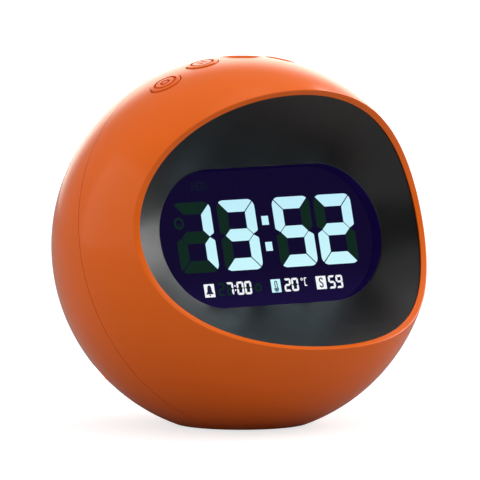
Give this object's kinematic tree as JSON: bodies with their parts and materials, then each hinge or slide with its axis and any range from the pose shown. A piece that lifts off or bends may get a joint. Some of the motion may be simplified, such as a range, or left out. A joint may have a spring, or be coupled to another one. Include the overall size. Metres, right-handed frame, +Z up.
{
  "type": "digital alarm clock",
  "caption": "Ball-shaped digital alarm clock with a scooped face, a lit display in a black dish and an arc of buttons over the top.",
  "frame": {"origin": "middle of the rubber foot, on the surface that the clock stands on", "axes": "+Z up; the face looks towards -Y and leans 15 degrees up; +X to the right of a person who reads the display"},
  "size_m": [0.09, 0.0847, 0.0872],
  "materials": {
    "orange_case": "soft-touch satin",
    "orange_button": "soft-touch satin",
    "black_gloss": "satin gloss",
    "violet_ring": "satin",
    "clear_lens": "clear",
    "display_glass": "dark violet, polished",
    "white_plastic": "plain",
    "grey_rubber": "plain",
    "green_board": "plain",
    "black_matte": "matte",
    "steel": "plated",
    "cell_jacket": "plain satin jacket",
    "nickel_contact": "nickel plated",
    "foot_rubber": "matte"
  },
  "bodies": {
    "case": {"front_shell": "orange_case", "rear_shell": "orange_case", "face_bezel": "black_gloss", "window_frame": "violet_ring", "display_lens": "clear_lens", "lcd_front_glass": "display_glass", "lcd_rear_glass": "display_glass", "backlight_panel": "white_plastic", "contact_strips": "grey_rubber", "display_chassis": "white_plastic", "main_board": "green_board", "main_chip": "black_matte", "board_parts": "black_matte", "temperature_sensor": "black_matte", "chassis_screws": "steel", "shell_screws": "steel", "tact_switches": "black_matte", "button_carrier": "black_matte", "battery_cell_1": "cell_jacket", "battery_cell_2": "cell_jacket", "battery_cell_3": "cell_jacket", "contact_plates": "nickel_contact", "contact_springs": "nickel_contact", "foot_pad": "foot_rubber", "buzzer": "black_matte"},
    "left_outer_button": {"left_outer_button": "orange_button"},
    "left_inner_button": {"left_inner_button": "orange_button"},
    "centre_button": {"centre_button": "orange_button"},
    "right_inner_button": {"right_inner_button": "orange_button"},
    "right_outer_button": {"right_outer_button": "orange_button"},
    "battery_door": {"battery_door": "orange_case"}
  },
  "joints": [
    {"name": "left_outer_press", "type": "slide", "parent": "case", "child": "left_outer_button", "axis": [0.4848, 0, -0.8746], "range_m": [0, 0.0008], "stiffness_N_per_m": 1500},
    {"name": "left_inner_press", "type": "slide", "parent": "case", "child": "left_inner_button", "axis": [0.2504, 0, -0.9681], "range_m": [0, 0.0008], "stiffness_N_per_m": 1500},
    {"name": "centre_press", "type": "slide", "parent": "case", "child": "centre_button", "axis": [0, 0, -1], "range_m": [0, 0.0008], "stiffness_N_per_m": 1500},
    {"name": "right_inner_press", "type": "slide", "parent": "case", "child": "right_inner_button", "axis": [-0.2504, 0, -0.9681], "range_m": [0, 0.0008], "stiffness_N_per_m": 1500},
    {"name": "right_outer_press", "type": "slide", "parent": "case", "child": "right_outer_button", "axis": [-0.4848, 0, -0.8746], "range_m": [0, 0.0008], "stiffness_N_per_m": 1500},
    {"name": "battery_door_pull", "type": "slide", "parent": "case", "child": "battery_door", "axis": [0, 0.9659, -0.2588], "range_m": [0, 0.02]}
  ]
}
